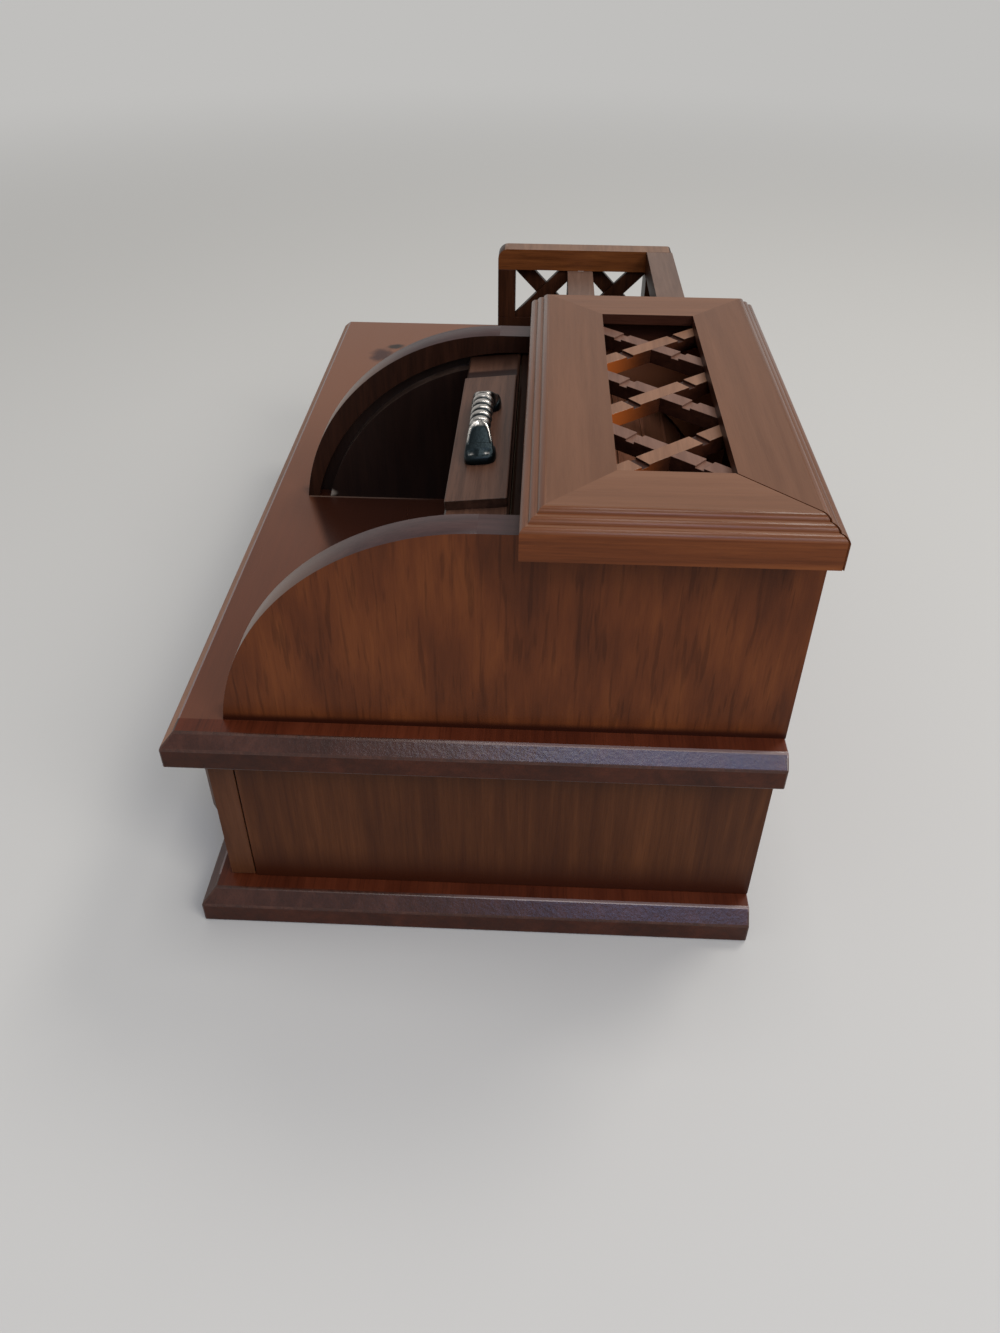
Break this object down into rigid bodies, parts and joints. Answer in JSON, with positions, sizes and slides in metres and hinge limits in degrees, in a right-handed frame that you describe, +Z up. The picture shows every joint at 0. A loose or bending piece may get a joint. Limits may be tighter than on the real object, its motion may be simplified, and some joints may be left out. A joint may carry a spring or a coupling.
{
  "type": "desk organiser with tambour box",
  "caption": "Desk organiser: a wide low case with a full-width drawer under a deck that carries a roll-front tambour box with a lattice top and a lattice letter rack.",
  "frame": {"origin": "middle of the plinth's underside, on the surface it stands on", "axes": "+X along the long side towards the tambour box's end, +Y from the drawer's front to the back, +Z up"},
  "size_m": [0.307, 0.1722, 0.1464],
  "materials": {
    "dark_board": "satin lacquer over dark stain",
    "stained_side": "satin lacquer over brown stain",
    "frame_moulding": "satin lacquer over brown stain",
    "tambour_wood": "satin lacquer over brown stain",
    "lattice_wood": "satin lacquer, cut edges left raw",
    "drawer_wood": "plain unstained wood",
    "antique_pewter": "dark antique cast metal with bright rubbed edges",
    "screw_steel": "plain steel",
    "canvas": "woven cloth"
  },
  "bodies": {
    "case": {"cabinet_back": "stained_side", "cabinet_guard_rail": "stained_side", "cabinet_side_left": "stained_side", "cabinet_side_right": "stained_side", "case_back": "stained_side", "case_side_left": "stained_side", "case_side_right": "stained_side", "deck_board": "dark_board", "frame_rail_back": "frame_moulding", "frame_rail_front": "frame_moulding", "frame_rail_left": "frame_moulding", "frame_rail_right": "frame_moulding", "plinth_board": "dark_board", "rack_back_bottom_rail": "frame_moulding", "rack_back_lattice": "lattice_wood", "rack_back_left_stile": "frame_moulding", "rack_back_right_stile": "frame_moulding", "rack_back_top_rail": "frame_moulding", "rack_divider_bottom_rail": "frame_moulding", "rack_divider_lattice": "lattice_wood", "rack_divider_left_stile": "frame_moulding", "rack_divider_right_stile": "frame_moulding", "rack_divider_top_rail": "frame_moulding", "rack_end_bottom_rail": "frame_moulding", "rack_end_front_stile": "frame_moulding", "rack_end_lattice": "lattice_wood", "rack_end_rear_stile": "frame_moulding", "rack_end_top_rail": "frame_moulding", "top_lattice_falling": "lattice_wood", "top_lattice_rising": "lattice_wood"},
    "tambour": {"tambour_canvas": "canvas", "tambour_lead_board": "tambour_wood", "tambour_lead_slat": "tambour_wood", "tambour_pull": "antique_pewter", "tambour_pull_screws": "screw_steel", "tambour_slat_1": "tambour_wood", "tambour_slat_2": "tambour_wood", "tambour_slat_3": "tambour_wood", "tambour_slat_4": "tambour_wood", "tambour_slat_5": "tambour_wood", "tambour_slat_6": "tambour_wood", "tambour_slat_7": "tambour_wood", "tambour_slat_8": "tambour_wood", "tambour_slat_9": "tambour_wood"},
    "drawer": {"drawer_back": "drawer_wood", "drawer_bottom": "drawer_wood", "drawer_front_board": "stained_side", "drawer_pull_left": "antique_pewter", "drawer_pull_right": "antique_pewter", "drawer_pull_screws": "screw_steel", "drawer_raised_panel": "stained_side", "drawer_side_left": "drawer_wood", "drawer_side_right": "drawer_wood"}
  },
  "joints": [
    {"name": "tambour_roll", "type": "hinge", "parent": "case", "child": "tambour", "pos_m": [0.0785, 0.00732, 0.0568], "axis": [1, 0, 0], "range_deg": [0, 61.4]},
    {"name": "drawer_slide", "type": "slide", "parent": "case", "child": "drawer", "axis": [0, -1, 0], "range_m": [0, 0.1]}
  ]
}
